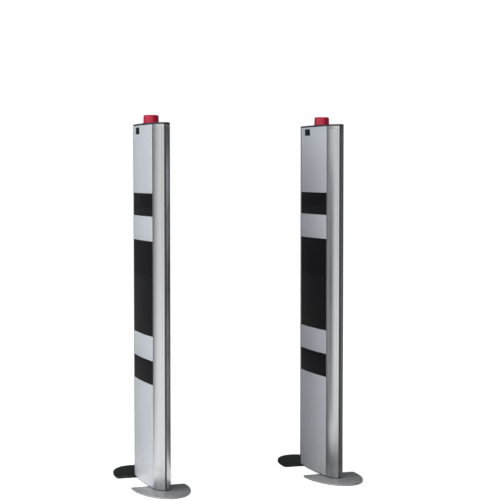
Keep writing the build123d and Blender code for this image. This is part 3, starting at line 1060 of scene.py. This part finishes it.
class GATE_OT_counters(bpy.types.Operator):
    """Model the dark counter windows near the top of the front shells"""

    bl_idname = "gate.counters"
    bl_label = "Counter Windows"

    def execute(self, context):
        sizes = context.scene.gate_sizes
        section = Section(sizes)
        for hand in HANDS:
            node = f"{hand}_counter_sensor"
            low, high = column_box(node)
            centre_x = centre_of(hand)
            proud = section.face_radius + WINDOW_PROUD
            centre, _ = section.face_arc(-1, centre_x, 0.1)
            angles = [math.pi - math.asin(y / section.face_radius) for y in (high.y, low.y)]
            radii = (proud - WINDOW_DEPTH, proud)
            plate = arc_slab(node + "_window", centre, radii, angles, (low.z, high.z), 6)
            self.round_corners(plate)
            round_edges(plate, WINDOW_ROUND, 2)
            eyes = []
            for share in EYE_SHARES:
                angle = angles[0] + (angles[1] - angles[0]) * share
                eyes.append(self.eye(centre, proud, angle, (low.z + high.z) / 2))
            plate = join([plate] + eyes, node + "_window")
            smooth(plate)
            deliver(plate, finishes().window, "dark_window", BODY, node)
        return {"FINISHED"}

    def round_corners(self, plate):
        """Round the four corners of the window, seen from the front"""
        vertices = plate.data.vertices
        heights = [v.co.z for v in vertices]
        widths = [v.co.y for v in vertices]
        corners_z = (min(heights), max(heights))
        corners_y = (min(widths), max(widths))
        select_none(plate, "EDGE")
        for edge in plate.data.edges:
            ends = [vertices[i].co for i in edge.vertices]
            at_corner = all(
                min(abs(v.z - z) for z in corners_z) < SAME_PLACE
                and min(abs(v.y - y) for y in corners_y) < CORNER_REACH
                for v in ends
            )
            level = abs(ends[0].z - ends[1].z) < SAME_LEVEL
            through = abs(ends[0].x - ends[1].x) > WINDOW_THROUGH
            edge.select = at_corner and level and through
        bpy.ops.object.mode_set(mode="EDIT")
        bpy.ops.mesh.bevel(offset=WINDOW_CORNER, segments=5, profile=0.5, affect="EDGES")
        bpy.ops.mesh.select_mode(type="VERT")
        leave_edit()

    def eye(self, centre, radius, angle, height):
        """Low round dome of one sensor eye"""
        start_clean()
        bpy.ops.mesh.primitive_uv_sphere_add(
            segments=24,
            ring_count=12,
            radius=EYE_RADIUS,
            location=(
                centre[0] + (radius - EYE_SUNK) * math.cos(angle),
                centre[1] + (radius - EYE_SUNK) * math.sin(angle),
                height,
            ),
            rotation=(0, 0, angle),
        )
        dome = bpy.context.active_object
        dome.scale = (EYE_FLATTENING, 1, 1)
        return settle(dome, "eye")


class GATE_OT_caps(bpy.types.Operator):
    """Model the top and bottom caps from the plan section"""

    bl_idname = "gate.caps"
    bl_label = "Caps"

    def execute(self, context):
        section = Section(context.scene.gate_sizes)
        for hand in HANDS:
            self.top(section, hand)
            self.bottom(section, hand)
        return {"FINISHED"}

    def top(self, section, hand):
        centre_x = centre_of(hand)
        points = section.outline(0.0, ROUND_STEPS)
        cap = plate_from_outline(hand + "_top_lid", points, centre_x, BODY_TOP, GATE_TOP)
        select_none(cap, "EDGE")
        pick_edges(cap, 2, GATE_TOP, SAME_LEVEL)
        bpy.ops.mesh.bevel(offset=LID_ROUND, segments=4, profile=0.5, affect="EDGES")
        leave_edit()
        edit(cap)
        bpy.ops.mesh.select_all(action="DESELECT")
        leave_edit()
        for face in cap.data.polygons:
            face.select = face.normal.z > 0.99 and len(face.vertices) > 12
        bpy.ops.object.mode_set(mode="EDIT")
        bpy.ops.mesh.select_mode(type="FACE")
        bpy.ops.mesh.inset(thickness=LID_RIM, depth=0)
        bpy.ops.mesh.inset(thickness=LID_GROOVE_WIDTH, depth=-LID_GROOVE_DEPTH)
        bpy.ops.mesh.select_mode(type="VERT")
        leave_edit()
        smooth(cap, 40)
        deliver(cap, finishes().dark, "dark_cap", BODY, hand + "_top_cap")

    def bottom(self, section, hand):
        low, _ = column_box(hand + "_bottom_cap")
        points = section.outline(PLATE_INSET, ROUND_STEPS)
        name = hand + "_bottom_plate"
        cap = plate_from_outline(name, points, centre_of(hand), low.z, BODY_BOTTOM)
        round_edges(cap, PLATE_ROUND, 2, 60)
        middle = (centre_of(hand), 0)
        hole = disc("hole", middle, CABLE_HOLE_RADIUS, low.z - 0.01, BODY_BOTTOM + 0.01, 48)
        cut_away(cap, hole)
        smooth(cap, 40)
        deliver(cap, finishes().dark, "dark_cap", BODY, hand + "_bottom_cap")


class GATE_OT_feet(bpy.types.Operator):
    """Model the four D-shaped foot plates with rounded edges and anchor holes"""

    bl_idname = "gate.feet"
    bl_label = "Foot Plates"

    def execute(self, context):
        for hand in HANDS:
            for end_name, end in ENDS.items():
                self.foot(hand, end_name, end)
        return {"FINISHED"}

    def foot(self, hand, end_name, end):
        node = f"{hand}_{end_name}_foot"
        low, high = column_box(node)
        centre_x = (low.x + high.x) / 2
        half = (high.x - low.x) / 2
        inner_y = low.y if end > 0 else high.y
        tip_y = high.y if end > 0 else low.y
        curve_y = inner_y + end * FOOT_STRAIGHT
        start_clean()
        bpy.ops.mesh.primitive_circle_add(
            vertices=160, radius=1, fill_type="NGON", location=(centre_x, curve_y, low.z)
        )
        plate = bpy.context.active_object
        plate.scale = (half, abs(tip_y - curve_y), 1)
        settle(plate, node + "_plate")
        edit(plate)
        bpy.ops.mesh.bisect(
            plane_co=(0, curve_y, 0), plane_no=(0, end, 0), use_fill=False, clear_inner=True
        )
        bpy.ops.mesh.select_all(action="DESELECT")
        leave_edit()
        pick_edges(plate, 1, curve_y, SAME_PLACE)
        bpy.ops.mesh.select_mode(type="EDGE")
        bpy.ops.mesh.extrude_region_move(TRANSFORM_OT_translate={"value": (0, -end * FOOT_STRAIGHT, 0)})
        bpy.ops.mesh.select_mode(type="VERT")
        close_mesh()
        bpy.ops.mesh.dissolve_limited(angle_limit=math.radians(0.2))
        bpy.ops.mesh.select_all(action="DESELECT")
        leave_edit()
        for vertex in plate.data.vertices:
            vertex.select = abs(vertex.co.y - inner_y) < SAME_PLACE
        bpy.ops.object.mode_set(mode="EDIT")
        bpy.ops.mesh.bevel(offset=FOOT_CORNER, segments=8, profile=0.5, affect="VERTICES")
        bpy.ops.mesh.select_all(action="SELECT")
        bpy.ops.mesh.extrude_region_move(TRANSFORM_OT_translate={"value": (0, 0, high.z - low.z)})
        close_mesh()
        leave_edit()
        pick_edges(plate, 2, high.z, SAME_LEVEL)
        bpy.ops.mesh.select_mode(type="EDGE")
        bpy.ops.mesh.bevel(offset=FOOT_ROUND, segments=3, profile=0.5, affect="EDGES")
        bpy.ops.mesh.select_mode(type="VERT")
        leave_edit()
        for shift in (-ANCHOR_X, ANCHOR_X):
            middle = (centre_x + shift, end * ANCHOR_Y)
            hole = disc("hole", middle, ANCHOR_RADIUS, low.z - 0.02, high.z + 0.02, 32)
            cut_away(plate, hole)
        smooth(plate, 40)
        # the far foot plates take the near-black coat that stands for their shade
        material = finishes().near_foot if end < 0 else finishes().shaded_far_foot
        deliver(plate, material, "grey_foot" if end < 0 else "black_foot", BODY, node)


class GATE_OT_lamps(bpy.types.Operator):
    """Model the red lenses as hollow cups with a rounded top"""

    bl_idname = "gate.lamps"
    bl_label = "Lamp Lenses"

    def execute(self, context):
        for hand in HANDS:
            self.lens(hand)
        return {"FINISHED"}

    def lens(self, hand):
        node = hand + "_lamp_lens"
        low, high = column_box(node)
        centre = ((low.x + high.x) / 2, (low.y + high.y) / 2)
        base = (high.x - low.x) / 2
        lens = disc(node + "_cup", centre, base, low.z, high.z, 96)
        for vertex in lens.data.vertices:
            if vertex.co.z > high.z - SAME_PLACE:
                vertex.co.x = centre[0] + (vertex.co.x - centre[0]) * LENS_TAPER
                vertex.co.y = centre[1] + (vertex.co.y - centre[1]) * LENS_TAPER
        select_none(lens, "EDGE")
        pick_edges(lens, 2, high.z, SAME_LEVEL)
        bpy.ops.mesh.bevel(offset=LENS_ROUND, segments=6, profile=0.5, affect="EDGES")
        bpy.ops.mesh.select_all(action="DESELECT")
        leave_edit()
        for face in lens.data.polygons:
            face.select = face.normal.z < -0.99
        bpy.ops.object.mode_set(mode="EDIT")
        bpy.ops.mesh.select_mode(type="FACE")
        bpy.ops.mesh.inset(thickness=LENS_WALL, depth=0)
        bpy.ops.mesh.extrude_region_move(
            TRANSFORM_OT_translate={"value": (0, 0, high.z - low.z - LENS_ROUND)}
        )
        bpy.ops.mesh.inset(thickness=LENS_STEP, depth=0)
        rise = LENS_ROUND - LENS_WALL
        bpy.ops.mesh.extrude_region_move(TRANSFORM_OT_translate={"value": (0, 0, rise)})
        close_mesh()
        bpy.ops.mesh.select_mode(type="VERT")
        leave_edit()
        smooth(lens, 40)
        deliver(lens, finishes().lens, "red_lens", hand + "_lens_body", node)


class GATE_OT_inner_parts(bpy.types.Operator):
    """Give the parts inside the columns and under the lenses their materials"""

    bl_idname = "gate.inner_parts"
    bl_label = "Inner Parts"

    def execute(self, context):
        looks = finishes()
        chosen = {
            "lamp_base": looks.dark,
            "lamp_board": looks.circuit,
            "coil_board": looks.laminate,
            "antenna_coil": looks.copper,
            "lower_brace": looks.zinc,
            "upper_brace": looks.zinc,
            "controller_board": looks.circuit,
            "power_supply": looks.case,
            "power_switch": looks.rocker,
            "cable_grommet": looks.rubber_and_painted_shade,
            "foot_bolts": looks.zinc,
        }
        for hand in HANDS:
            for name, material in chosen.items():
                redress(NODES[f"{hand}_{name}"], material)
        return {"FINISHED"}


def studio_glow(tree, heading):
    """Brightness of the studio in one direction: bright front left, dark behind on the right"""
    turn = tree.nodes.new("ShaderNodeVectorMath")
    turn.operation = "DOT_PRODUCT"
    turn.inputs[1].default_value = STUDIO_BRIGHT_SIDE
    tree.links.new(heading, turn.inputs[0])
    ramp = tree.nodes.new("ShaderNodeMapRange")
    ramp.interpolation_type = "SMOOTHSTEP"
    ramp.inputs["From Min"].default_value = -0.15
    ramp.inputs["From Max"].default_value = 0.9
    ramp.inputs["To Min"].default_value = 0.08
    ramp.inputs["To Max"].default_value = 1.0
    tree.links.new(turn.outputs["Value"], ramp.inputs["Value"])
    return ramp.outputs["Result"]


class GATE_OT_stage(bpy.types.Operator):
    """Set out the floor, the soft lights and the camera"""

    bl_idname = "gate.stage"
    bl_label = "Stage"

    def execute(self, context):
        self.floor()
        self.world(context)
        self.lights()
        self.camera(context)
        return {"FINISHED"}

    def floor(self):
        start_clean()
        bpy.ops.mesh.primitive_plane_add(size=40, location=(0, 0, 0))
        floor = settle(bpy.context.active_object, "studio_floor")
        finish = Finish("Studio Floor")
        tone = finish.add("ShaderNodeTexNoise")
        tone.inputs["Scale"].default_value = 0.6
        finish.join(finish.where, tone.inputs["Vector"])
        pale = finish.mix(tone.outputs["Fac"], (0.78, 0.78, 0.78), (0.81, 0.81, 0.81))
        finish.set(Roughness=0.7, Specular_IOR_Level=0.1)
        finish.shader.inputs["Emission Color"].default_value = (1, 1, 1, 1)
        path = finish.add("ShaderNodeLightPath")
        glossy = path.outputs["Is Glossy Ray"]
        finish.join(finish.mix(glossy, pale, (0.02, 0.02, 0.02)), finish.shader.inputs["Base Color"])
        heading = finish.add("ShaderNodeVectorMath", operation="NORMALIZE")
        finish.join(finish.where, heading.inputs[0])
        mirrored = studio_glow(finish.tree, heading.outputs["Vector"])
        in_mirror = finish.combine(mirrored, glossy, "MULTIPLY")
        in_view = finish.combine(path.outputs["Is Camera Ray"], FLOOR_GLOW, "MULTIPLY")
        finish.join(finish.combine(in_mirror, in_view), finish.shader.inputs["Emission Strength"])
        dress(floor, finish.material)

    def world(self, context):
        world = bpy.data.worlds.new("Studio")
        context.scene.world = world
        world.use_nodes = True
        tree = world.node_tree
        tree.nodes.clear()
        out = tree.nodes.new("ShaderNodeOutputWorld")
        seen = tree.nodes.new("ShaderNodeBackground")
        seen.inputs["Color"].default_value = (1, 1, 1, 1)
        seen.inputs["Strength"].default_value = 1.0
        lit = tree.nodes.new("ShaderNodeBackground")
        where = tree.nodes.new("ShaderNodeTexCoord")
        glow = studio_glow(tree, where.outputs["Generated"])
        tree.links.new(glow, lit.inputs["Strength"])
        path = tree.nodes.new("ShaderNodeLightPath")
        mix = tree.nodes.new("ShaderNodeMixShader")
        tree.links.new(path.outputs["Is Camera Ray"], mix.inputs["Fac"])
        tree.links.new(lit.outputs["Background"], mix.inputs[1])
        tree.links.new(seen.outputs["Background"], mix.inputs[2])
        tree.links.new(mix.outputs["Shader"], out.inputs["Surface"])
        context.scene.view_settings.view_transform = "Standard"

    def lights(self):
        for name, place, aim, power in LIGHTS:
            start_clean()
            bpy.ops.object.light_add(type="AREA", location=place)
            light = bpy.context.active_object
            light.name = name
            light.data.size = LIGHT_SIZE
            light.data.energy = power
            light.visible_glossy = False
            direction = Vector(aim) - Vector(place)
            light.rotation_euler = direction.to_track_quat("-Z", "Y").to_euler()

    def camera(self, context):
        start_clean()
        bpy.ops.object.camera_add(
            location=CAMERA_PLACE,
            rotation=(math.radians(90 - CAMERA_DOWN), 0, -math.radians(CAMERA_TURN)),
        )
        camera = bpy.context.active_object
        camera.name = "gate_camera"
        camera.data.sensor_width = 36
        camera.data.lens = CAMERA_LENS
        camera.data.clip_end = 100
        context.scene.camera = camera


class GATE_PT_panel(bpy.types.Panel):
    """Steps that make the gate, in order"""

    bl_label = "Security Gate"
    bl_idname = "GATE_PT_panel"
    bl_space_type = "VIEW_3D"
    bl_region_type = "UI"
    bl_category = "Gate"

    def draw(self, context):
        layout = self.layout
        for step in STEPS:
            layout.operator(step.bl_idname)
        for group in (context.scene.gate_sizes, context.scene.gate_colours):
            column = layout.column()
            for key in group.bl_rna.properties.keys():
                if key not in ("rna_type", "name"):
                    column.prop(group, key)


STEPS = (
    GATE_OT_stage,
    GATE_OT_rails,
    GATE_OT_bumpers,
    GATE_OT_shells,
    GATE_OT_bands,
    GATE_OT_counters,
    GATE_OT_caps,
    GATE_OT_feet,
    GATE_OT_lamps,
    GATE_OT_inner_parts,
)
CLASSES = (GateSizes, GateColours) + STEPS + (GATE_PT_panel,)


def register():
    for cls in CLASSES:
        bpy.utils.register_class(cls)
    bpy.types.Scene.gate_sizes = bpy.props.PointerProperty(type=GateSizes)
    bpy.types.Scene.gate_colours = bpy.props.PointerProperty(type=GateColours)


def unregister():
    del bpy.types.Scene.gate_colours
    del bpy.types.Scene.gate_sizes
    for cls in reversed(CLASSES):
        bpy.utils.unregister_class(cls)


def main():
    register()
    for step in STEPS:
        family, name = step.bl_idname.split(".")
        getattr(getattr(bpy.ops, family), name)()
    start_clean()


if __name__ == "__main__":
    main()
